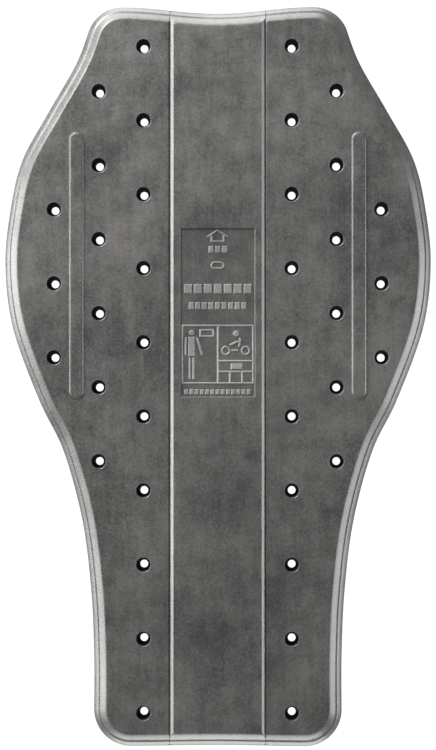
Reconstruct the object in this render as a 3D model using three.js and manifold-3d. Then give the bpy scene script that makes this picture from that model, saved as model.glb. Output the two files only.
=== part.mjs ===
import * as THREE from "three";
import { mergeVertices } from "three/addons/utils/BufferGeometryUtils.js";
import Module from "manifold-3d";

// A back protector that slips into the pocket of a motorcycle jacket: one moulding of
// viscoelastic foam, with two lengthwise grooves that leave thin webs as living hinges.
// Each zone between the grooves, each web, each rib and the marking field is a mesh.
// Millimetres, +Z up the wearer's spine, X across the back, and the outer face towards -Y.
// The origin is the middle of the wearer's face of the spine panel.

// ---------- driving dimensions ----------

const TOP_Z = 251.5;
const TOP_DIP = 4.4;
const BOTTOM_Z = -251.5;
const BOTTOM_DIP = 0.7;
const TOP_CORNER = { x: 65.4, r: 24, endDeg: 22 };
const BOTTOM_CORNER = { x: 59.2, r: 25 };
// Half widths down the side, from the shoulder to the hip.
const SIDE = [
  [96.6, 213],
  [115.4, 180.2],
  [133.2, 147.5],
  [141.2, 114.7],
  [144.9, 76],
  [139.7, 32.9],
  [121.8, -16.2],
  [105.1, -51],
  [92.3, -98],
  [86.2, -146],
  [84.2, -190],
];

const THICKNESS = 16;
const SPINE_RISE = 1.4;
const FLANGE = { thickness: 10, round: 2.6 };
const BEVEL = { inset: 3, size: 6, land: 0.3 };

const FOLD_X = 32.6;
const GROOVE_WIDTH = 2.4;
// The web's section, as depths from the wearer's face: the fold's axis is 4 deep, and the web
// tapers behind it.
const WEB = { halfWidth: 0.8, frontDepth: 8, shoulderDepth: 3.6, backDepth: 2.2 };
// Touching solids keep this gap, and a cutting solid reaches this far past what it cuts.
const GAP = 0.3;
const PAST = 5;

const HOLE = { frontRadius: 4.7, backRadius: 2.6, sides: 16, pitch: 50.25 };
// Each column of holes: its distance from the middle, its top hole and how many it has.
const HOLE_COLUMNS = [
  { x: 50.3, z: 223.9, count: 10 },
  { x: 80.7, z: 193.4, count: 6 },
  { x: 111.1, z: 113.1, count: 3 },
];

const RIB = { x: 95.8, width: 8.8, top: 165.1, bottom: -14.7, rise: 1.2, seat: 1.5, edge: 0.5 };

const FIELD = { width: 51, top: 100.4, bottom: -14.3, recess: 1, seat: 2.2 };
// The marks on the field's floor: an arrow, blank bars in place of lettering, and a table of
// two empty frames, as [left, bottom, right, top].
const MARK = { rise: 0.5, sink: 0.3, line: 0.8 };
const ARROW = { z: 93, span: 9 };
const BARS = [
  [-20, 58, 20, 63],
  [-16, 45, 16, 49],
  [-20, -11, 20, -8],
];
const TABLE_FRAMES = [
  [-23, -4.6, -0.6, 35],
  [0.6, -4.6, 23, 35],
];
const TABLE_RULES = [
  [0.6, 12, 23, 12 + MARK.line],
  [0.6, 3, 23, 3 + MARK.line],
];

const FOAM = { color: 0x67665f, roughness: 0.6, metalness: 0 };

const wasm = await Module();
wasm.setup();

// ---------- solids ----------

function solid(geometry) {
  geometry.deleteAttribute("normal");
  geometry.deleteAttribute("uv");
  const merged = mergeVertices(geometry, 1e-4);
  return new wasm.Manifold(
    new wasm.Mesh({
      numProp: 3,
      vertProperties: merged.attributes.position.array,
      triVerts: new Uint32Array(merged.index.array),
    }),
  );
}

function mesh(name, body) {
  const { vertProperties, triVerts } = body.getMesh();
  const geometry = new THREE.BufferGeometry();
  geometry.setAttribute("position", new THREE.BufferAttribute(vertProperties, 3));
  geometry.setIndex(new THREE.BufferAttribute(triVerts, 1));
  geometry.computeVertexNormals();
  const made = new THREE.Mesh(geometry, new THREE.MeshStandardMaterial(FOAM));
  made.name = name;
  return made;
}

// A block from low to high corners.
function block([x0, y0, z0], [x1, y1, z1]) {
  const geometry = new THREE.BoxGeometry(x1 - x0, y1 - y0, z1 - z0);
  geometry.translate((x0 + x1) / 2, (y0 + y1) / 2, (z0 + z1) / 2);
  return solid(geometry);
}

// A shape drawn in X and Z, as a slab from backY forward to frontY, with both edges bevelled.
function slab(shape, backY, frontY, bevel = { size: 0, depth: 0 }, inset = 0, bevelSegments = 1) {
  const geometry = new THREE.ExtrudeGeometry(shape, {
    depth: backY - frontY - 2 * bevel.depth,
    steps: 1,
    bevelEnabled: bevel.size > 0,
    bevelSize: bevel.size,
    bevelThickness: bevel.depth,
    bevelOffset: -inset - bevel.size,
    bevelSegments,
  });
  geometry.rotateX(Math.PI / 2);
  geometry.translate(0, backY - bevel.depth, 0);
  return solid(geometry);
}

// ---------- outlines ----------

function arc(cx, cz, r, fromDeg, toDeg, steps) {
  const points = [];
  for (let i = 0; i <= steps; i++) {
    const a = THREE.MathUtils.degToRad(fromDeg + ((toDeg - fromDeg) * i) / steps);
    points.push(new THREE.Vector2(cx + r * Math.cos(a), cz + r * Math.sin(a)));
  }
  return points;
}

// An end edge from the middle out to x = reach: it lies `dip` inside the end at the middle.
function endEdge(endZ, dip, reach, steps) {
  const inward = -Math.sign(endZ);
  const points = [];
  for (let i = 0; i < steps; i++) {
    const x = (reach * i) / steps;
    const fall = 0.5 + 0.5 * Math.cos((Math.PI * x) / reach);
    points.push(new THREE.Vector2(x, endZ + inward * dip * fall));
  }
  return points;
}

function outlineShape() {
  const { x: topX, r: topR, endDeg } = TOP_CORNER;
  const { x: bottomX, r: bottomR } = BOTTOM_CORNER;
  const shoulder = arc(topX, TOP_Z - topR, topR, 90, endDeg, 8);
  const hip = arc(bottomX, BOTTOM_Z + bottomR, bottomR, 0, -90, 8);
  const knots = SIDE.map(([x, z]) => new THREE.Vector2(x, z));
  const side = new THREE.SplineCurve([shoulder.at(-1), ...knots, hip[0]]).getSpacedPoints(44);
  const half = [
    ...endEdge(TOP_Z, TOP_DIP, topX, 8),
    ...shoulder,
    ...side.slice(1, -1),
    ...hip,
    ...endEdge(BOTTOM_Z, BOTTOM_DIP, bottomX, 6).reverse(),
  ];
  const mirrored = half.slice(1, -1).map((p) => new THREE.Vector2(-p.x, p.y));
  return new THREE.Shape([...half, ...mirrored.reverse()]);
}

// A bar with round ends, upright, grown by `grow` all round.
function ribShape(x, grow) {
  const r = RIB.width / 2;
  const top = arc(x, RIB.top - r, r + grow, 0, 180, 10);
  const bottom = arc(x, RIB.bottom + r, r + grow, 180, 360, 10);
  return new THREE.Shape([...top, ...bottom]);
}

function boxShape(x0, z0, x1, z1) {
  const corners = [
    [x0, z0],
    [x1, z0],
    [x1, z1],
    [x0, z1],
  ];
  return new THREE.Shape(corners.map(([x, z]) => new THREE.Vector2(x, z)));
}

// ---------- the moulding ----------

// The wearer's side is a round-edged flange, and the outer side is a bevelled pad set in from it.
// The pad stands on the flange with a short upright land, and its hidden part lies in the flange.
function moulding(thickness) {
  const outline = outlineShape();
  const flangeBevel = { size: FLANGE.round, depth: FLANGE.round };
  const flange = slab(outline, 0, -FLANGE.thickness, flangeBevel, 0, 2);
  const padBevel = { size: BEVEL.size, depth: thickness - FLANGE.thickness - BEVEL.land };
  const padBack = 2 * padBevel.depth + 2 * BEVEL.land - thickness;
  const pad = slab(outline, Math.min(padBack, -GAP), -thickness, padBevel, BEVEL.inset, 2);
  return flange.add(pad);
}

// A vent hole drawn a little past both faces, wide at the outer face.
function ventHole(x, z) {
  const slope = (HOLE.frontRadius - HOLE.backRadius) / THICKNESS;
  const front = HOLE.frontRadius + PAST * slope;
  const back = HOLE.backRadius - PAST * slope;
  const geometry = new THREE.CylinderGeometry(back, front, THICKNESS + 2 * PAST, HOLE.sides);
  geometry.translate(x, -THICKNESS / 2, z);
  return solid(geometry);
}

// The zone of the moulding between two distances across it.
function zone(body, x0, x1) {
  const front = -THICKNESS - SPINE_RISE - PAST;
  return body.intersect(block([x0, front, BOTTOM_Z - PAST], [x1, PAST, TOP_Z + PAST]));
}

// A wing with its vent holes and the seat of its rib; side is -1 on the left and 1 on the right.
function wing(side) {
  const body = moulding(THICKNESS);
  const inner = side * (FOLD_X + GROOVE_WIDTH / 2);
  const outer = side * (Math.max(...SIDE.map(([x]) => x)) + PAST);
  let made = zone(body, Math.min(inner, outer), Math.max(inner, outer));
  for (const column of HOLE_COLUMNS) {
    for (let i = 0; i < column.count; i++) {
      made = made.subtract(ventHole(side * column.x, column.z - i * HOLE.pitch));
    }
  }
  const seat = slab(ribShape(side * RIB.x, GAP), RIB.seat - THICKNESS, -THICKNESS - PAST);
  return made.subtract(seat);
}

function rib(side) {
  const back = RIB.seat - GAP - THICKNESS;
  const bevel = { size: RIB.edge, depth: RIB.edge };
  return slab(ribShape(side * RIB.x, 0), back, -THICKNESS - RIB.rise, bevel);
}

// The spine panel stands a little proud of the wings.
function spine() {
  const half = FOLD_X - GROOVE_WIDTH / 2;
  const reach = FIELD.width / 2;
  const front = -THICKNESS - SPINE_RISE;
  const seat = block([-reach, front - PAST, FIELD.bottom], [reach, front + FIELD.seat, FIELD.top]);
  return zone(moulding(THICKNESS + SPINE_RISE), -half, half).subtract(seat);
}

// The web left at the foot of a groove: square to the front, and tapered behind, where the
// wing's edge swings past it.
function foldWeb(side) {
  const section = new THREE.Shape([
    new THREE.Vector2(-WEB.halfWidth, -WEB.frontDepth),
    new THREE.Vector2(WEB.halfWidth, -WEB.frontDepth),
    new THREE.Vector2(WEB.halfWidth, -WEB.shoulderDepth),
    new THREE.Vector2(0, -WEB.backDepth),
    new THREE.Vector2(-WEB.halfWidth, -WEB.shoulderDepth),
  ]);
  const low = BOTTOM_Z + BOTTOM_DIP + FLANGE.round;
  const high = TOP_Z - TOP_DIP - FLANGE.round;
  const geometry = new THREE.ExtrudeGeometry(section, { depth: high - low, bevelEnabled: false });
  geometry.translate(side * FOLD_X, 0, low);
  return solid(geometry);
}

// ---------- the marking field ----------

const fieldFloor = FIELD.recess - THICKNESS - SPINE_RISE;

// A raised mark on the field's floor, sunk a little into it.
function raised(shape) {
  return slab(shape, fieldFloor + MARK.sink, fieldFloor - MARK.rise);
}

function frame([x0, z0, x1, z1]) {
  return [
    [x0, z0, x1, z0 + MARK.line],
    [x0, z1 - MARK.line, x1, z1],
    [x0, z0, x0 + MARK.line, z1],
    [x1 - MARK.line, z0, x1, z1],
  ];
}

// An arrow that points up the wearer's back.
function upArrow(z, span) {
  const half = span / 2;
  const stem = span / 5;
  const outline = [
    [0, z + half],
    [-half, z],
    [-stem, z],
    [-stem, z - half],
    [stem, z - half],
    [stem, z],
    [half, z],
  ];
  return raised(new THREE.Shape(outline.map(([x, y]) => new THREE.Vector2(x, y))));
}

// The floor of the recess: an arrow, blank bars in place of lettering, and an empty table.
function markingField() {
  const reach = FIELD.width / 2 - GAP;
  const back = fieldFloor - FIELD.recess + FIELD.seat - GAP;
  let made = block([-reach, fieldFloor, FIELD.bottom + GAP], [reach, back, FIELD.top - GAP]);
  const boxes = [...BARS, ...TABLE_FRAMES.flatMap(frame), ...TABLE_RULES];
  for (const [x0, z0, x1, z1] of boxes) {
    made = made.add(raised(boxShape(x0, z0, x1, z1)));
  }
  return made.add(upArrow(ARROW.z, ARROW.span));
}

// ---------- assembly ----------

const protector = new THREE.Group();
protector.add(mesh("spine_panel", spine()));
protector.add(mesh("marking_field", markingField()));
for (const [name, side] of [
  ["left", -1],
  ["right", 1],
]) {
  protector.add(mesh(`${name}_wing`, wing(side)));
  protector.add(mesh(`${name}_rib`, rib(side)));
  protector.add(mesh(`${name}_fold_web`, foldWeb(side)));
}

export default protector;
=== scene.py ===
import math

import bmesh
import bpy
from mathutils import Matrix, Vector, geometry


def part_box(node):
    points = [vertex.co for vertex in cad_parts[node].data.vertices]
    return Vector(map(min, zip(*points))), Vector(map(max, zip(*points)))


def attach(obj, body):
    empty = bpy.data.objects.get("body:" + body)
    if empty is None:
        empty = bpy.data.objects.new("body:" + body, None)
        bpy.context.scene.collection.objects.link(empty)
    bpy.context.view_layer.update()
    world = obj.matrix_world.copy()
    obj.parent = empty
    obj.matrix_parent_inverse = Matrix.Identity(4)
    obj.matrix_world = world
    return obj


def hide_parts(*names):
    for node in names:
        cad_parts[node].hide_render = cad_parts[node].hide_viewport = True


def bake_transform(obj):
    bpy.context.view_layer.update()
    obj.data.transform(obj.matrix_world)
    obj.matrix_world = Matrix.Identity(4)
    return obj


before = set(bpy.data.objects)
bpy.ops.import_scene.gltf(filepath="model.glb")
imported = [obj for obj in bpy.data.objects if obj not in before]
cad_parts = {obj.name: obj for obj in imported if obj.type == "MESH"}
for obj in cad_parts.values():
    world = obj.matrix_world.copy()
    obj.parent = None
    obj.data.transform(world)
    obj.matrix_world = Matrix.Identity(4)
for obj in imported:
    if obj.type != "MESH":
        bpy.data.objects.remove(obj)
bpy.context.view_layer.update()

scene = bpy.context.scene

# ---------------------------------------------------------------------------------------------
# Viewpoint and studio. A long lens stands 1.9 m in front of the outer face, a little right of
# the spine and a little below its middle. Four soft boxes round it graze the rim, and a fifth
# lights the front from above, and the floor lies far below. Lengths are in metres.
# ---------------------------------------------------------------------------------------------
VIEWPOINT = (0.034, -1.936, -0.018)
AIM = (0, 0, 0.0009)
AMBIENT = 0.16
BACKGROUND = 1.1
FLOOR_Z = -4.2
FLOOR_REACH = 30

camera = bpy.data.cameras.new("studio_camera")
camera.lens = 136
camera.sensor_width = 36
viewpoint = bpy.data.objects.new("studio_camera", camera)
scene.collection.objects.link(viewpoint)
viewpoint.location = VIEWPOINT
viewpoint.rotation_mode = "QUATERNION"
line_of_sight = Vector(AIM) - Vector(VIEWPOINT)
viewpoint.rotation_quaternion = line_of_sight.to_track_quat("-Z", "Y")
scene.camera = viewpoint
scene.view_settings.view_transform = "Standard"

studio_air = bpy.data.worlds.new("studio_air")
scene.world = studio_air
studio_air.use_nodes = True
air = studio_air.node_tree
air.nodes.clear()
seen_by_lens = air.nodes.new("ShaderNodeLightPath")
lit = air.nodes.new("ShaderNodeBackground")
lit.inputs["Color"].default_value = (1, 1, 1, 1)
lit.inputs["Strength"].default_value = AMBIENT
white = air.nodes.new("ShaderNodeBackground")
white.inputs["Color"].default_value = (1, 1, 1, 1)
white.inputs["Strength"].default_value = BACKGROUND
choice = air.nodes.new("ShaderNodeMixShader")
air_out = air.nodes.new("ShaderNodeOutputWorld")
air.links.new(seen_by_lens.outputs["Is Camera Ray"], choice.inputs[0])
air.links.new(lit.outputs[0], choice.inputs[1])
air.links.new(white.outputs[0], choice.inputs[2])
air.links.new(choice.outputs[0], air_out.inputs["Surface"])


def soft_box(name, place, towards, wide, tall, watts):
    """A rectangular light that the lens does not see."""
    light = bpy.data.lights.new(name, "AREA")
    light.shape = "RECTANGLE"
    light.size, light.size_y = wide, tall
    light.energy = watts
    stand = bpy.data.objects.new(name, light)
    scene.collection.objects.link(stand)
    stand.location = place
    stand.rotation_mode = "QUATERNION"
    stand.rotation_quaternion = (Vector(towards) - Vector(place)).to_track_quat("-Z", "Y")
    stand.visible_camera = False


soft_box("soft_box_left", (-2.4, -0.15, 0.1), (0, 0, 0), 1.6, 1.4, 108)
soft_box("soft_box_right", (1.2, -0.08, -0.10), (0, 0, -0.05), 0.28, 0.9, 16)
soft_box("soft_box_top", (-0.15, 0.10, 1.05), (0, 0, 0.1), 0.9, 0.8, 16)
soft_box("soft_box_low", (0, 0.14, -0.85), (0, 0, -0.1), 0.9, 0.4, 9)
soft_box("soft_box_front", (-0.8, -0.66, 1.0), (-0.05, 0, 0.1), 0.6, 0.6, 46)

floor_mesh = bpy.data.meshes.new("studio_floor")
floor_corners = [(sx * FLOOR_REACH, sy * FLOOR_REACH, FLOOR_Z)
                 for sx, sy in ((-1, -1), (1, -1), (1, 1), (-1, 1))]
floor_mesh.from_pydata(floor_corners, [], [(0, 1, 2, 3)])
floor = bpy.data.objects.new("studio_floor", floor_mesh)
scene.collection.objects.link(floor)
floor_paint = bpy.data.materials.new("pale_floor")
floor_paint.use_nodes = True
floor_shader = floor_paint.node_tree.nodes["Principled BSDF"]
floor_shader.inputs["Base Color"].default_value = (0.8, 0.8, 0.8, 1)
floor_shader.inputs["Roughness"].default_value = 0.9
floor_shader.inputs["Emission Color"].default_value = (1, 1, 1, 1)
floor_shader.inputs["Emission Strength"].default_value = 0.42
floor_mesh.materials.append(floor_paint)

# ---------------------------------------------------------------------------------------------
# Spine panel. The middle of the one foam moulding, a strip that stands 1.4 mm proud of the
# wings. Its long edges fall away in flanks to the fold grooves, painted paler as a highlight,
# its ends carry the rim, and a shallow pocket takes the marking field. From here on lengths
# are in millimetres.
# ---------------------------------------------------------------------------------------------
MM = 0.001


def cad_size(node):
    low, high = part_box(node)
    return low / MM, high / MM


wing_low, wing_high = cad_size("left_wing")
spine_low, _ = cad_size("spine_panel")
field_low, field_high = cad_size("marking_field")

TOP_END = {"z": wing_high.z, "dip": 4.4, "reach": 65.4}
BOTTOM_END = {"z": wing_low.z, "dip": 0.7, "reach": 59.2}
WING_FRONT = -wing_low.y
SPINE_FRONT = -spine_low.y
FLANGE_DEPTH = 8
SPINE_HALF = 32.45
HINGE_RELIEF = 0.85
# A lip falls by its height over its width, down to a level toe along the groove.
SPINE_FLANK = {"height": 2.0, "width": 2.55, "toe": 0.35, "power": 1.05}
LIP_STEPS = 7
BACK_LIP = 1.0
BACK_ROUND = 1.9
BACK_ROUND_STEPS = 5
BACK_MARGIN = 0.9
FACE_MARGIN = 1
MIDDLE_STEPS = 18
SHARP_EDGE = 30
POCKET_DEPTH = 2.2
POCKET_CORNER = 0.9
# The pocket's wall from the outer face to its floor, as (outward from the plate, drop).
POCKET_WALL = [(1.1, 0), (0.6, 0), (0.3, 0.04), (0.12, 0.18), (-0.06, 0.5), (-0.26, 0.95),
               (-0.3, 1.3), (-0.3, POCKET_DEPTH)]


def foam_skin_finish(name, dark, light, grain):
    """Skin of moulded foam: cloudy grey from the release agent, finely grained, half matt."""
    material = bpy.data.materials.new(name)
    material.use_nodes = True
    nodes, links = material.node_tree.nodes, material.node_tree.links
    shader = nodes["Principled BSDF"]
    place = nodes.new("ShaderNodeTexCoord").outputs["Object"]

    def mottle(scale, detail, rough, stretch=(1, 1, 1)):
        mapping = nodes.new("ShaderNodeMapping")
        mapping.inputs["Scale"].default_value = stretch
        links.new(place, mapping.inputs["Vector"])
        noise = nodes.new("ShaderNodeTexNoise")
        noise.inputs["Scale"].default_value = scale
        noise.inputs["Detail"].default_value = detail
        noise.inputs["Roughness"].default_value = rough
        links.new(mapping.outputs["Vector"], noise.inputs["Vector"])
        return noise.outputs[0]

    def blend(first, second, share):
        mix = nodes.new("ShaderNodeMix")
        mix.inputs["Factor"].default_value = share
        links.new(first, mix.inputs[2])
        links.new(second, mix.inputs[3])
        return mix.outputs[0]

    clouds = mottle(14, 3, 0.5)
    blotches = mottle(75, 4, 0.6)
    speckle = mottle(900, 3, 0.75)
    streaks = mottle(90, 3, 0.6, (3, 1, 0.35))
    tone = blend(blend(clouds, blotches, 0.4), blend(speckle, streaks, 0.25), 0.5)
    shade = nodes.new("ShaderNodeValToRGB")
    shade.color_ramp.elements[0].position = 0.41
    shade.color_ramp.elements[0].color = (*dark, 1)
    shade.color_ramp.elements[1].position = 0.59
    shade.color_ramp.elements[1].color = (*light, 1)
    links.new(tone, shade.inputs["Fac"])
    links.new(shade.outputs["Color"], shader.inputs["Base Color"])

    gloss = nodes.new("ShaderNodeMapRange")
    gloss.inputs["To Min"].default_value = 0.36
    gloss.inputs["To Max"].default_value = 0.52
    links.new(blend(blotches, speckle, 0.5), gloss.inputs["Value"])
    links.new(gloss.outputs["Result"], shader.inputs["Roughness"])
    shader.inputs["Specular IOR Level"].default_value = 0.75

    def relief(height, depth, under=None):
        bump = nodes.new("ShaderNodeBump")
        bump.inputs["Distance"].default_value = depth * MM
        links.new(height, bump.inputs["Height"])
        if under:
            links.new(under, bump.inputs["Normal"])
        return bump.outputs["Normal"]

    sag = relief(mottle(38, 2, 0.5), 0.5)
    peel = relief(mottle(420, 3, 0.6), 0.06, sag)
    links.new(relief(mottle(2300, 2, 0.6), grain, peel), shader.inputs["Normal"])
    return material


foam_skin = foam_skin_finish("foam_skin", (0.02, 0.02, 0.0195), (0.088, 0.086, 0.083), 0.03)
# The paler flank finish is a painted highlight for the light grazing the spine's outward slopes.
flank_skin = foam_skin_finish("flank_skin", (0.07, 0.07, 0.0685), (0.15, 0.148, 0.144), 0.02)


def curved(start, control, end, steps):
    """Points of a rounded corner, without its first one."""
    points = []
    for i in range(1, steps + 1):
        t = i / steps
        points.append(tuple((1 - t) ** 2 * a + 2 * t * (1 - t) * b + t * t * c
                            for a, b, c in zip(start, control, end)))
    return points


# The rim in front of the flange's outer wall as (run, slope in degrees): a sloping edge, a
# shallow crease, then the bevel and its long roll-over to the face.
RIM_WALL_TOP = 7.0
RIM_SLOPES = [(0.3, 72), (1.1, 55), (1.2, 52), (0.6, 43), (0.3, 29), (0.6, 17), (0.3, 30),
              (0.6, 43), (0.8, 45), (0.8, 43), (0.8, 41), (0.8, 38), (0.6, 32), (0.5, 22),
              (0.4, 12), (1.2, 4)]


def rim_section(front):
    """The rim from the wearer's face round to the outer face, as (inset, depth). In front of
    the flange it is drawn out for a face that stands further forward."""
    section = [(BACK_ROUND + BACK_MARGIN, 0), (BACK_ROUND, 0)]
    section += curved((BACK_ROUND, 0), (0, 0), (0, BACK_ROUND), BACK_ROUND_STEPS)
    section += [(0, RIM_WALL_TOP)]
    for run, slope in RIM_SLOPES:
        inset, depth = section[-1]
        section.append((inset + run, depth + run * math.tan(math.radians(slope))))
    drawn = max(1, (front - FLANGE_DEPTH) / (section[-1][1] - FLANGE_DEPTH))
    section = [(inset, depth + (drawn - 1) * max(0, depth - FLANGE_DEPTH))
               for inset, depth in section]
    return section + [(section[-1][0] + FACE_MARGIN, front)]


def end_column(end, x, from_wall, away=1):
    """A place on an end edge of the moulding, as (x, z, x step, z step for 1 mm of inset,
    distance from the groove's wall, and which way x runs away from that wall)."""
    turn = math.pi * x / end["reach"]
    inward = -math.copysign(1, end["z"])
    z = end["z"] + inward * end["dip"] * (0.5 + 0.5 * math.cos(turn))
    lean = end["dip"] * math.pi / end["reach"] * 0.5 * math.sin(turn)
    return x, z, 0, inward * math.hypot(1, lean), from_wall, away


def lip_distances(lip):
    """Where a lip's columns stand, measured from the groove's wall."""
    run = (lip["width"] - lip["toe"]) / (LIP_STEPS - 1)
    return [0] + [lip["toe"] + run * i for i in range(LIP_STEPS)]


def lip_share(lip, from_wall):
    """How far down a lip goes: 0 on the face, 1 at its toe."""
    return min(1, max(0, lip["width"] - from_wall) / (lip["width"] - lip["toe"]))


def vertex(bm, x, depth, z):
    return bm.verts.new((x * MM, -depth * MM, z * MM))


def triangles_between(loops):
    """Corners of the triangles that fill the plane between closed loops of vertices."""
    vertices = [v for loop in loops for v in loop]
    points = [Vector((v.co.x / MM, v.co.z / MM)) for v in vertices]
    edges = []
    first = 0
    for loop in loops:
        edges += [(first + i, first + (i + 1) % len(loop)) for i in range(len(loop))]
        first += len(loop)
    _, _, faces, came_from, _, _ = geometry.delaunay_2d_cdt(points, edges, [], 0, 1e-5)
    return [[vertices[came_from[i][0]] for i in face] for face in faces]


def fill_sheet(bm, outer, openings):
    """Fills between an outer loop of vertices and the openings inside it."""

    def inside(loop, x, z):
        hit = False
        for a, b in zip(loop, loop[1:] + loop[:1]):
            ax, az, bx, bz = a.co.x / MM, a.co.z / MM, b.co.x / MM, b.co.z / MM
            if (az > z) != (bz > z) and x < (bx - ax) * (z - az) / (bz - az) + ax:
                hit = not hit
        return hit

    for corners in triangles_between([outer, *openings]):
        x = sum(v.co.x for v in corners) / 3 / MM
        z = sum(v.co.z for v in corners) / 3 / MM
        if inside(outer, x, z) and not any(inside(loop, x, z) for loop in openings):
            bm.faces.new(corners)


def stack_loops(bm, loops):
    """Joins each loop of vertices to the next."""
    for one, two in zip(loops, loops[1:]):
        for i in range(len(one)):
            j = (i + 1) % len(one)
            bm.faces.new((one[i], one[j], two[j], two[i]))


def foam_zone(bm, chains, section, lip):
    """One zone of the moulding. Each chain of columns runs round the rim from one groove wall
    to the next, and each wall joins the end of a chain to the start of the one after it. The
    walls stand back a little in the flange, where the hinge folds. Gives back the loops that
    bound the flat outer and back faces."""
    front = section[-1][1]
    foot = sum(depth <= FLANGE_DEPTH for _, depth in section)
    grids = []
    for chain in chains:
        grid = []
        for x, z, step_x, step_z, from_wall, away in chain:
            near = lip_share(lip, from_wall)
            fall = lip["height"] * near ** lip["power"]
            rise = BACK_LIP * max(0, 1 - from_wall / BACK_LIP) ** 2
            column = []
            for ring, (inset, depth) in enumerate(section):
                relief = away * HINGE_RELIEF * near if ring < foot else 0
                depth = max(depth, rise) if ring < foot else min(depth, front - fall)
                column.append(vertex(bm, x + relief + inset * step_x, depth, z + inset * step_z))
            grid.append(column)
        grids.append(grid)
    for grid in grids:
        for one, two in zip(grid, grid[1:]):
            for r in range(len(section) - 1):
                bm.faces.new((one[r], two[r], two[r + 1], one[r + 1]))
    for grid, following in zip(grids, grids[1:] + grids[:1]):
        end, start = grid[-1], following[0]
        bm.faces.new(end[:foot] + start[:foot][::-1])
        bm.faces.new((end[foot - 1], end[foot], start[foot], start[foot - 1]))
        bm.faces.new(end[foot:] + start[foot:][::-1])
        for i in range(LIP_STEPS):
            a, b = grid[-1 - i], grid[-2 - i]
            c, d = following[i + 1], following[i]
            for ring in (0, -1):
                bm.faces.new((a[ring], b[ring], c[ring], d[ring]))
    flat = [column for grid in grids for column in grid[LIP_STEPS:len(grid) - LIP_STEPS]]
    return [column[-1] for column in flat], [column[0] for column in flat]


def finished(name, bm, materials):
    """Turns the work in hand into a piece, smooth except over its hard edges."""
    bmesh.ops.recalc_face_normals(bm, faces=bm.faces)
    mesh = bpy.data.meshes.new(name)
    bm.to_mesh(mesh)
    bm.free()
    for material in materials:
        mesh.materials.append(material)
    mesh.shade_smooth()
    mesh.set_sharp_from_angle(angle=math.radians(SHARP_EDGE))
    piece = bpy.data.objects.new(name, mesh)
    scene.collection.objects.link(piece)
    return piece


def rounded_box(low, high, radius, grow, steps=4):
    """Corners of an upright box with rounded corners, grown all round."""
    points = []
    for k, (sx, sz) in enumerate(((1, 1), (-1, 1), (-1, -1), (1, -1))):
        cx = (high.x if sx > 0 else low.x) - sx * radius
        cz = (high.z if sz > 0 else low.z) - sz * radius
        for i in range(steps + 1):
            a = math.radians(90 * (k + i / steps))
            points.append((cx + (radius + grow) * math.cos(a), cz + (radius + grow) * math.sin(a)))
    return points


def spine_panel():
    """The panel's skin, with its pocket open to the front."""
    bm = bmesh.new()
    lips = lip_distances(SPINE_FLANK)
    across = [SPINE_HALF - d for d in lips]
    middle = [across[-1] * (1 - 2 * i / MIDDLE_STEPS) for i in range(1, MIDDLE_STEPS)]
    xs = across + middle + [-x for x in reversed(across)]
    walls = [SPINE_HALF - abs(x) for x in xs]
    top = [end_column(TOP_END, x, w, -math.copysign(1, x)) for x, w in zip(xs, walls)]
    bottom = [end_column(BOTTOM_END, -x, w, math.copysign(1, x)) for x, w in zip(xs, walls)]
    outer, back = foam_zone(bm, [top, bottom], rim_section(SPINE_FRONT), SPINE_FLANK)
    loops = [[vertex(bm, x, SPINE_FRONT - drop, z)
              for x, z in rounded_box(field_low, field_high, POCKET_CORNER, grow)]
             for grow, drop in POCKET_WALL]
    fill_sheet(bm, outer, [loops[0]])
    stack_loops(bm, loops)
    bm.faces.new(loops[-1])
    fill_sheet(bm, back, [])
    # Faces high on the flanks get the paler finish: a painted highlight.
    for face in bm.faces:
        centre = face.calc_center_median() / MM
        on_flank = abs(centre.x) > SPINE_HALF - SPINE_FLANK["width"]
        face.material_index = int(on_flank and -centre.y > SPINE_FRONT - SPINE_FLANK["height"])
    return finished("spine_panel_skin", bm, [foam_skin, flank_skin])


spine_skin = spine_panel()
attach(spine_skin, "spine")
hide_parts("spine_panel")

# ---------------------------------------------------------------------------------------------
# Marking field. The plate left by an exchangeable insert of the mould, on the floor of the
# pocket, with raised marks 0.45 mm high, their tops painted paler as a highlight: an arrow that
# points up the back, blank blocks where a maker puts lettering, and a table with plain signs of
# a wearer and a two-wheeler.
# ---------------------------------------------------------------------------------------------
FIELD_DEPTH = 1.0
FIELD_GAP = 0.2
FIELD_THICKNESS = 1.1
MARK_RISE = 0.45
MARK_SLOPE = 0.22
STROKE = 0.8
LIMB = 1.1


def outline_grown(points, grow):
    """A closed outline, running anticlockwise, moved outwards by grow."""
    made = []
    for i, (x, z) in enumerate(points):
        ax, az = points[i - 1]
        bx, bz = points[(i + 1) % len(points)]
        ux, uz = Vector((x - ax, z - az)).normalized()
        vx, vz = Vector((bx - x, bz - z)).normalized()
        nx, nz = uz + vz, -ux - vx
        scale = grow * 2 / (nx * nx + nz * nz)
        made.append((x + nx * scale, z + nz * scale))
    return made


def rectangle(x0, z0, x1, z1):
    return [(x0, z0), (x1, z0), (x1, z1), (x0, z1)]


def disc(x, z, radius, sides=18):
    turns = [2 * math.pi * i / sides for i in range(sides)]
    return [(x + radius * math.cos(a), z + radius * math.sin(a)) for a in turns]


def limb(x0, z0, x1, z1, width=LIMB):
    """A stroke with round ends."""
    angle = math.atan2(z1 - z0, x1 - x0)
    points = []
    for x, z, first in ((x1, z1, -90), (x0, z0, 90)):
        for i in range(6):
            a = angle + math.radians(first + 36 * i)
            points.append((x + width / 2 * math.cos(a), z + width / 2 * math.sin(a)))
    return points


def block_row(x0, x1, z0, z1, count, gap):
    """Blank blocks in a row, where lettering would stand."""
    width = (x1 - x0 - gap * (count - 1)) / count
    return [rectangle(x0 + i * (width + gap), z0, x0 + i * (width + gap) + width, z1)
            for i in range(count)]


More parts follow.
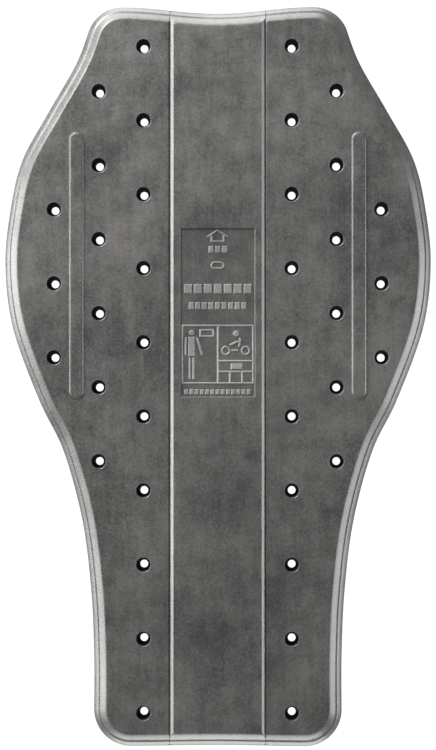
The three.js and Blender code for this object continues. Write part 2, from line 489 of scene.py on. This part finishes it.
def marking_field():
    """The plate and its marks, as one sheet with an edge and a back."""
    bm = bmesh.new()
    floor_depth = SPINE_FRONT - FIELD_DEPTH
    loops = []

    def level(points, rise):
        loops.append([vertex(bm, x, floor_depth + rise, z) for x, z in points])

    def raised(points):
        level(outline_grown(points, MARK_SLOPE), 0)
        level(outline_grown(points, -MARK_SLOPE), MARK_RISE)

    def sunk(points):
        level(outline_grown(points, MARK_SLOPE), MARK_RISE)
        level(outline_grown(points, -MARK_SLOPE), 0)

    def ring(points):
        raised(points)
        sunk(outline_grown(points, -STROKE))

    ring([(-4.5, 90.9), (4.5, 90.9), (4.5, 94.5), (7.3, 94.5), (0, 99.4), (-7.3, 94.5), (-4.5, 94.5)])
    for row in (block_row(-5.8, 6.2, 83.8, 88, 3, 1.5), block_row(-22.6, 23, 56.2, 62.2, 7, 1.7),
                block_row(-19.4, 19.4, 45.4, 49.8, 9, 1.4), block_row(-22.4, 22.4, -12.4, -9.2, 13, 1.2)):
        for block in row:
            raised(block)
    ring(limb(-2.2, 75.1, 2.2, 75.1, 4.8))

    raised(rectangle(-24.3, -5.2, 24.6, 34.6))
    sunk(rectangle(-23.5, -4.4, -0.2, 33.8))
    sunk(rectangle(0.7, 10.7, 23.8, 33.8))
    sunk(rectangle(0.7, 3.4, 23.8, 9.8))
    for x0, x1 in ((0.7, 7.9), (8.8, 16.3), (17.2, 23.8)):
        sunk(rectangle(x0, -4.4, x1, 2.5))

    raised(disc(-17.6, 29.3, 1.7))
    raised(rectangle(-19.6, 13.6, -15.6, 26.4))
    for stroke in ((-21.4, 25.6, -21.6, 14.6), (-13.8, 25.6, -10.6, 14.8),
                   (-18.8, 11.9, -18.8, -1.6), (-16.4, 11.9, -16.4, -1.6)):
        raised(limb(*stroke))
    ring(rectangle(-12.2, 26.6, -2.4, 31.6))

    for x in (5.6, 19.0):
        ring(disc(x, 17.3, 3.0, 24))
    raised(disc(12.6, 28.8, 1.9))
    for stroke in ((8.8, 21.2, 13.4, 23.2), (15.2, 25.2, 14.8, 20.4), (9.9, 17.4, 13.6, 17.4)):
        raised(limb(*stroke))
    raised(rectangle(9.2, 4.8, 16.6, 8.4))

    edge = [[vertex(bm, x, floor_depth - drop, z)
             for x, z in rounded_box(field_low, field_high, POCKET_CORNER, -FIELD_GAP)]
            for drop in (0, FIELD_THICKNESS)]
    # Faces on the upper half of a mark get the paler finish: a painted highlight.
    for corners in triangles_between([edge[0], *loops]):
        face = bm.faces.new(corners)
        on_mark = any(-v.co.y / MM > floor_depth + MARK_RISE / 2 for v in corners)
        face.material_index = int(on_mark)
    stack_loops(bm, edge)
    bm.faces.new(edge[1])
    return finished("marking_field_plate", bm, [marking_skin, rubbed_skin])


marking_skin = foam_skin_finish("marking_skin", (0.022, 0.022, 0.0215), (0.08, 0.078, 0.075), 0.02)
# The paler finish of the marks is a painted highlight.
rubbed_skin = foam_skin_finish("rubbed_skin", (0.1, 0.1, 0.098), (0.2, 0.198, 0.193), 0.02)
marking_plate = marking_field()
marking_plate.data.shade_flat()
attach(marking_plate, "spine")
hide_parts("marking_field")

# ---------------------------------------------------------------------------------------------
# Wings. The side zones of the moulding, one each side of the spine, outlined by the shoulder,
# the side and the hip. Each carries one raised rib with round ends and three columns of vent
# holes, moulded round tapered pins at an even pitch of 50.25 mm.
# ---------------------------------------------------------------------------------------------
WING_WALL = 32.75
WING_LIP = {"height": 0.4, "width": 1.0, "toe": 0.05, "power": 2}
SHOULDER = {"x": 65.4, "radius": 24, "end": 22}
HIP = {"x": 59.2, "radius": 25}
SHOULDER_STEPS = 16
HIP_STEPS = 20
TOP_EDGE_STEPS = 12
BOTTOM_EDGE_STEPS = 10
SIDE_SPACING = 3
SIDE = [(96.6, 213), (115.4, 180.2), (133.2, 147.5), (141.2, 114.7), (144.9, 76), (139.7, 32.9),
        (121.8, -16.2), (105.1, -51), (92.3, -98), (86.2, -146), (84.2, -190)]
VENT_SIDES = 32
VENT_PITCH = 50.25
VENT_COLUMNS = [(50.3, 223.9, 10), (80.7, 193.4, 6), (111.1, 113.1, 3)]
# The wall of a vent hole from its mouth to the wearer's face, as (radius, depth).
VENT_WALL = [(5.9, 16), (5.5, 16), (5.25, 16.05), (5.0, 15.9), (4.82, 15.5), (4.72, 14.9),
             (4.4, 12.4), (3.5, 6.6), (2.63, 0.9), (2.66, 0.5), (2.8, 0.2), (3.1, 0.02), (3.6, 0)]
VENT_SKIN_RINGS = 4
VENT_WELD = 0.02
RIB_END_STEPS = 14
# The rib's edge from the wing's face to its top, as (outward, rise).
RIB_SECTION = [(1.5, 0), (0.9, 0), (0.5, 0.05), (0.3, 0.2), (-0.12, 0.93), (-0.38, 1.13),
               (-0.85, 1.2), (-1.5, 1.2)]


def side_curve(knots, spacing):
    """A smooth curve through the knots, in even steps of its own parameter."""
    points = []
    for i in range(len(knots) - 1):
        p0, p1 = knots[max(i - 1, 0)], knots[i]
        p2, p3 = knots[i + 1], knots[min(i + 2, len(knots) - 1)]
        steps = max(2, round(math.dist(p1, p2) / spacing))
        for k in range(1, steps + 1):
            t = k / steps
            points.append(tuple(
                b + 0.5 * t * (c - a + t * (2 * a - 5 * b + 4 * c - d + t * (3 * (b - c) + d - a)))
                for a, b, c, d in zip(p0, p1, p2, p3)))
    return points


def corner_arc(cx, cz, radius, start, end, steps):
    angles = [math.radians(start + (end - start) * i / steps) for i in range(steps + 1)]
    return [(cx + radius * math.cos(a), cz + radius * math.sin(a)) for a in angles]


def wing_columns():
    """Columns of the right wing's rim, from the groove over the shoulder and down to the hip."""
    lips = lip_distances(WING_LIP)
    top_x = [WING_WALL + d for d in lips]
    step = (SHOULDER["x"] - top_x[-1]) / TOP_EDGE_STEPS
    top_x += [top_x[-1] + step * i for i in range(1, TOP_EDGE_STEPS)]
    low_x = [WING_WALL + d for d in lips]
    step = (HIP["x"] - low_x[-1]) / BOTTOM_EDGE_STEPS
    low_x += [low_x[-1] + step * i for i in range(1, BOTTOM_EDGE_STEPS)]
    shoulder = corner_arc(SHOULDER["x"], TOP_END["z"] - SHOULDER["radius"], SHOULDER["radius"],
                          90, SHOULDER["end"], SHOULDER_STEPS)
    hip = corner_arc(HIP["x"], BOTTOM_END["z"] + HIP["radius"], HIP["radius"],
                     0, -90, HIP_STEPS)
    side = shoulder + side_curve([shoulder[-1], *SIDE, hip[0]], SIDE_SPACING) + hip[1:]
    columns = [end_column(TOP_END, x, x - WING_WALL) for x in top_x]
    for i, (x, z) in enumerate(side):
        before = side[i - 1] if i else (x - 1, z)
        after = side[i + 1] if i + 1 < len(side) else (x - 1, z)
        along = Vector((after[0] - before[0], after[1] - before[1])).normalized()
        columns.append((x, z, along.y, -along.x, x - WING_WALL, 1))
    columns += [end_column(BOTTOM_END, x, x - WING_WALL) for x in reversed(low_x)]
    return columns


def vent_centres():
    return [(x, top - i * VENT_PITCH) for x, top, count in VENT_COLUMNS for i in range(count)]


def vent_ring(radius):
    turns = [2 * math.pi * i / VENT_SIDES for i in range(VENT_SIDES)]
    return [(radius * math.cos(a), radius * math.sin(a)) for a in turns]


def rib_outline(low, high, grow):
    """A bar with round ends."""
    radius = (high.x - low.x) / 2
    x = (low.x + high.x) / 2
    top = corner_arc(x, high.z - radius, radius + grow, 0, 180, RIB_END_STEPS)
    return top + corner_arc(x, low.z + radius, radius + grow, 180, 360, RIB_END_STEPS)


def wing_blank(side):
    """A wing with its rib, and with open rings where the vent holes go."""
    bm = bmesh.new()
    outer, back = foam_zone(bm, [wing_columns()], rim_section(WING_FRONT), WING_LIP)
    mouths = [[vertex(bm, cx + side * x, WING_FRONT, cz + z)
               for x, z in vent_ring(VENT_WALL[0][0])] for cx, cz in vent_centres()]
    outlets = [[vertex(bm, cx + side * x, 0, cz + z)
                for x, z in vent_ring(VENT_WALL[-1][0])] for cx, cz in vent_centres()]
    rib_low, rib_high = cad_size("right_rib")
    rib = [[vertex(bm, x, WING_FRONT + rise, z)
            for x, z in rib_outline(rib_low, rib_high, grow)] for grow, rise in RIB_SECTION]
    fill_sheet(bm, outer, mouths + [rib[0]])
    fill_sheet(bm, back, outlets)
    stack_loops(bm, rib)
    bm.faces.new(rib[-1])
    for v in bm.verts:
        v.co.x *= side
    name = "right_wing_skin" if side > 0 else "left_wing_skin"
    return finished(name, bm, [foam_skin])


def vent_pin_wall():
    """The wall that one tapered pin leaves, about its own axis. Its bore is marked for the nearly
    black finish, painted shade where the shadow lies deep in the hole."""
    bm = bmesh.new()
    bore = bm.faces.layers.float.new("bore")
    loops = [[vertex(bm, x, depth, z) for x, z in vent_ring(radius)]
             for radius, depth in VENT_WALL]
    stack_loops(bm, loops)
    for i, face in enumerate(bm.faces):
        face[bore] = float(i // VENT_SIDES >= VENT_SKIN_RINGS)
    return finished("vent_pin_wall", bm, [])


def bore_painted_shade_finish():
    """The dull, nearly black finish inside the vent holes: painted shade for the deep holes."""
    material = bpy.data.materials.new("vent_bore")
    material.use_nodes = True
    nodes, links = material.node_tree.nodes, material.node_tree.links
    shader = nodes["Principled BSDF"]
    noise = nodes.new("ShaderNodeTexNoise")
    noise.inputs["Scale"].default_value = 700
    links.new(nodes.new("ShaderNodeTexCoord").outputs["Object"], noise.inputs["Vector"])
    shade = nodes.new("ShaderNodeValToRGB")
    shade.color_ramp.elements[0].color = (0.008, 0.008, 0.008, 1)
    shade.color_ramp.elements[1].color = (0.03, 0.03, 0.03, 1)
    links.new(noise.outputs[0], shade.inputs["Fac"])
    links.new(shade.outputs["Color"], shader.inputs["Base Color"])
    bump = nodes.new("ShaderNodeBump")
    bump.inputs["Distance"].default_value = 0.05 * MM
    links.new(noise.outputs[0], bump.inputs["Height"])
    links.new(bump.outputs["Normal"], shader.inputs["Normal"])
    shader.inputs["Roughness"].default_value = 0.85
    shader.inputs["Specular IOR Level"].default_value = 0.2
    return material


def vent_column_tree():
    """Sets one column of vent walls into a wing: a line of points, a wall on each point, and
    their open rings welded to the rings of the wing."""
    tree = bpy.data.node_groups.new("vent_column", "GeometryNodeTree")

    def socket(name, kind, way="INPUT"):
        return tree.interface.new_socket(name, in_out=way, socket_type="NodeSocket" + kind)

    for name, kind in (("Wing", "Geometry"), ("Vent Wall", "Object"), ("Count", "Int"),
                       ("Top Hole", "Vector"), ("Step", "Vector"), ("Weld", "Float"),
                       ("Skin", "Material"), ("Bore", "Material")):
        socket(name, kind)
    socket("Wing", "Geometry", "OUTPUT")
    add = tree.nodes.new
    link = tree.links.new
    given = add("NodeGroupInput")
    line = add("GeometryNodeMeshLine")
    line.mode = "OFFSET"
    link(given.outputs["Count"], line.inputs["Count"])
    link(given.outputs["Top Hole"], line.inputs["Start Location"])
    link(given.outputs["Step"], line.inputs["Offset"])
    wall = add("GeometryNodeObjectInfo")
    link(given.outputs["Vent Wall"], wall.inputs["Object"])
    row = add("GeometryNodeInstanceOnPoints")
    link(line.outputs["Mesh"], row.inputs["Points"])
    link(wall.outputs["Geometry"], row.inputs["Instance"])
    joined = add("GeometryNodeJoinGeometry")
    link(given.outputs["Wing"], joined.inputs["Geometry"])
    link(row.outputs["Instances"], joined.inputs["Geometry"])
    real = add("GeometryNodeRealizeInstances")
    link(joined.outputs["Geometry"], real.inputs["Geometry"])
    weld = add("GeometryNodeMergeByDistance")
    link(real.outputs["Geometry"], weld.inputs["Geometry"])
    link(given.outputs["Weld"], weld.inputs["Distance"])
    skin = add("GeometryNodeSetMaterial")
    link(weld.outputs["Geometry"], skin.inputs["Geometry"])
    link(given.outputs["Skin"], skin.inputs["Material"])
    # The bore faces get the nearly black finish, painted shade inside the holes.
    marked = add("GeometryNodeInputNamedAttribute")
    marked.data_type = "FLOAT"
    marked.inputs["Name"].default_value = "bore"
    bore = add("GeometryNodeSetMaterial")
    link(skin.outputs["Geometry"], bore.inputs["Geometry"])
    link(marked.outputs["Attribute"], bore.inputs["Selection"])
    link(given.outputs["Bore"], bore.inputs["Material"])
    result = add("NodeGroupOutput")
    link(bore.outputs["Geometry"], result.inputs["Wing"])
    return tree


def set_vents(blank, side):
    """Gives the wing its vent walls, as one plain closed mesh."""
    for x, top, count in VENT_COLUMNS:
        column = blank.modifiers.new(f"vent_column_{count}", "NODES")
        column.node_group = vent_tree
        given = {item.name: item.identifier for item in vent_tree.interface.items_tree
                 if item.in_out == "INPUT"}
        column[given["Vent Wall"]] = pin_wall
        column[given["Count"]] = count
        column[given["Top Hole"]] = (side * x * MM, 0, top * MM)
        column[given["Step"]] = (0, 0, -VENT_PITCH * MM)
        column[given["Weld"]] = VENT_WELD * MM
        column[given["Skin"]] = foam_skin
        column[given["Bore"]] = vent_bore
    depsgraph = bpy.context.evaluated_depsgraph_get()
    vented = bpy.data.meshes.new_from_object(blank.evaluated_get(depsgraph))
    blank.modifiers.clear()
    bm = bmesh.new()
    bm.from_mesh(vented)
    materials = list(vented.materials)
    name = blank.name
    bpy.data.objects.remove(blank)
    return finished(name, bm, materials)


vent_bore = bore_painted_shade_finish()
vent_tree = vent_column_tree()
pin_wall = vent_pin_wall()
for wing, side in (("left", -1), ("right", 1)):
    wing_skin = set_vents(wing_blank(side), side)
    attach(wing_skin, f"{wing}_wing")
    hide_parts(f"{wing}_wing", f"{wing}_rib")
bpy.data.objects.remove(pin_wall)

# ---------------------------------------------------------------------------------------------
# Fold webs. The thin foam left between the foot of each groove and the crease on the wearer's
# face: the living hinges of the moulding. Each is rooted in the spine panel and in its wing.
# ---------------------------------------------------------------------------------------------
WEB_INNER = SPINE_HALF - HINGE_RELIEF
WEB_OUTER = WING_WALL + HINGE_RELIEF
WEB_BACK = 1.05
WEB_FRONT = 7.9
WEB_SHELF = (2.2, 3.4)
WEB_ROOT = 0.4
WEB_INSET = 0.12
WEB_STEPS = 6


def web_section():
    """The flange's section, cut off at the foot of the groove, as (inset, depth)."""
    flange = [(inset, depth) for inset, depth in rim_section(WING_FRONT) if depth <= WEB_FRONT]
    foot = [(inset, max(depth, WEB_BACK)) for inset, depth in flange]
    return foot + [(inset, WEB_FRONT) for inset in WEB_SHELF]


def fold_web(side):
    """A bar the length of a groove, as loops round its section from wall to wall."""
    bm = bmesh.new()
    span = WEB_OUTER - WEB_INNER
    xs = [WEB_INNER - WEB_ROOT] + [WEB_INNER + span * i / WEB_STEPS for i in range(WEB_STEPS + 1)]
    xs.append(WEB_OUTER + WEB_ROOT)
    grid = []
    for x in xs:
        loop = []
        for end in (TOP_END, BOTTOM_END):
            _, z, _, step, _, _ = end_column(end, x, 0)
            column = [vertex(bm, side * x, depth, z + (inset + WEB_INSET) * step)
                      for inset, depth in web_section()]
            loop += column if end is TOP_END else column[::-1]
        grid.append(loop)
    stack_loops(bm, grid)
    bm.faces.new(grid[0])
    bm.faces.new(grid[-1])
    bmesh.ops.remove_doubles(bm, verts=bm.verts, dist=0.01 * MM)
    name = "right_fold_web_skin" if side > 0 else "left_fold_web_skin"
    return finished(name, bm, [foam_skin])


for wing, side in (("left", -1), ("right", 1)):
    web = fold_web(side)
    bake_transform(web)
    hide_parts(f"{wing}_fold_web")
